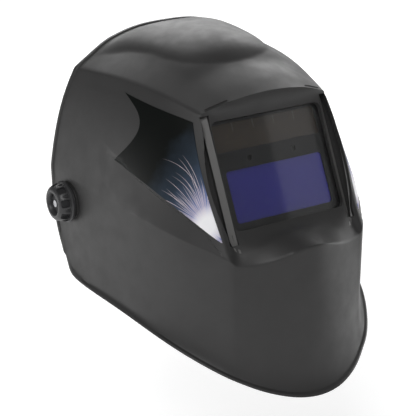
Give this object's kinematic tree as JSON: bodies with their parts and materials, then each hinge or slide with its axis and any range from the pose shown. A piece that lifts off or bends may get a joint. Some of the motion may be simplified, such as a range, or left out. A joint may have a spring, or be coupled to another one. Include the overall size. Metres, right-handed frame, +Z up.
{
  "type": "auto-darkening welding helmet",
  "caption": "Full-face tilting shell with a deep lens hood, an auto-darkening filter cartridge, friction pivots with hand knobs, and a ratchet headband with a crown strap.",
  "frame": {"origin": "centre of the wearer's head inside the headband, between the tilt pivots", "axes": "+Z up through the crown, -Y the way the lens faces, +X the wearer's left"},
  "size_m": [0.2628, 0.3632, 0.2657],
  "materials": {
    "shell_plastic": "semi-matte injection-moulded polyamide, charcoal",
    "decal_film": "printed vinyl, satin",
    "clear_cover": "clear polycarbonate",
    "cartridge_plastic": "fine matte",
    "filter_glass": "blue-violet coated glass",
    "solar_cell": "amorphous silicon under glass",
    "sensor_window": "infrared window",
    "circuit_board": "solder mask",
    "bright_steel": "zinc plated",
    "brass_insert": "turned",
    "fibre_washer": "nylon friction washer",
    "headgear_plastic": "fine matte polyethylene",
    "knob_plastic": "semi-matte nylon",
    "terry_cloth": "terry loops over foam",
    "foam_pad": "cloth-faced foam"
  },
  "bodies": {
    "headgear": {"headband": "headgear_plastic", "side_arm_right": "headgear_plastic", "side_arm_left": "headgear_plastic", "arm_rivet_right": "headgear_plastic", "arm_rivet_left": "headgear_plastic", "crown_strap_right": "headgear_plastic", "crown_strap_left": "headgear_plastic", "strap_rivet_right": "headgear_plastic", "strap_rivet_left": "headgear_plastic", "tilt_plate_right": "headgear_plastic", "tilt_plate_left": "headgear_plastic", "pivot_bolt_right": "bright_steel", "pivot_bolt_left": "bright_steel", "pivot_bushing_right": "headgear_plastic", "pivot_bushing_left": "headgear_plastic", "inner_washer_right": "fibre_washer", "inner_washer_left": "fibre_washer", "outer_washer_right": "fibre_washer", "outer_washer_left": "fibre_washer", "strap_pin": "headgear_plastic", "sweatband": "terry_cloth", "rear_pad": "foam_pad", "ratchet_housing": "headgear_plastic", "ratchet_cover": "headgear_plastic", "ratchet_spring": "bright_steel"},
    "shell": {"helmet_shell": "shell_plastic", "decal_right": "decal_film", "decal_left": "decal_film", "cover_lens": "clear_cover", "filter_housing_front": "cartridge_plastic", "filter_housing_back": "cartridge_plastic", "lcd_filter": "filter_glass", "solar_cell": "solar_cell", "arc_sensor_right": "sensor_window", "arc_sensor_left": "sensor_window", "circuit_board": "circuit_board", "battery_right": "bright_steel", "battery_left": "bright_steel", "inner_cover_lens": "clear_cover", "retainer_frame": "headgear_plastic"},
    "knob_right": {"tension_knob_right": "knob_plastic", "knob_insert_right": "brass_insert"},
    "knob_left": {"tension_knob_left": "knob_plastic", "knob_insert_left": "brass_insert"},
    "ratchet_drive": {"ratchet_knob": "knob_plastic", "ratchet_pinion": "headgear_plastic", "ratchet_screw": "bright_steel"},
    "shade_control": {"shade_dial": "headgear_plastic"},
    "sensitivity_control": {"sensitivity_dial": "headgear_plastic"},
    "delay_control": {"delay_dial": "headgear_plastic"},
    "latch_right": {"frame_latch_right": "headgear_plastic"},
    "latch_left": {"frame_latch_left": "headgear_plastic"}
  },
  "joints": [
    {"name": "shell_tilt", "type": "hinge", "parent": "headgear", "child": "shell", "pos_m": [0, -0.004, 0.0015], "axis": [-1, 0, 0], "range_deg": [-22, 55]},
    {"name": "knob_right_turn", "type": "hinge", "parent": "headgear", "child": "knob_right", "pos_m": [0, -0.004, 0.0015], "axis": [-1, 0, 0], "range_deg": [-180, 180]},
    {"name": "knob_left_turn", "type": "hinge", "parent": "headgear", "child": "knob_left", "pos_m": [0, -0.004, 0.0015], "axis": [1, 0, 0], "range_deg": [-180, 180]},
    {"name": "ratchet_turn", "type": "hinge", "parent": "headgear", "child": "ratchet_drive", "pos_m": [0, 0.11701, -0.01855], "axis": [0, 0.9588, -0.284], "range_deg": [-180, 180]},
    {"name": "shade_turn", "type": "hinge", "parent": "shell", "child": "shade_control", "pos_m": [-0.024, -0.13662, 0.07882], "axis": [0, -0.8949, 0.4462], "range_deg": [0, 270]},
    {"name": "sensitivity_turn", "type": "hinge", "parent": "shell", "child": "sensitivity_control", "pos_m": [0, -0.13662, 0.07882], "axis": [0, -0.8949, 0.4462], "range_deg": [0, 270]},
    {"name": "delay_turn", "type": "hinge", "parent": "shell", "child": "delay_control", "pos_m": [0.024, -0.13662, 0.07882], "axis": [0, -0.8949, 0.4462], "range_deg": [0, 270]},
    {"name": "latch_right_turn", "type": "hinge", "parent": "shell", "child": "latch_right", "pos_m": [-0.0628, -0.148, 0.056], "axis": [0, -0.8949, 0.4462], "range_deg": [0, 90]},
    {"name": "latch_left_turn", "type": "hinge", "parent": "shell", "child": "latch_left", "pos_m": [0.0628, -0.148, 0.056], "axis": [0, -0.8949, 0.4462], "range_deg": [-90, 0]}
  ]
}
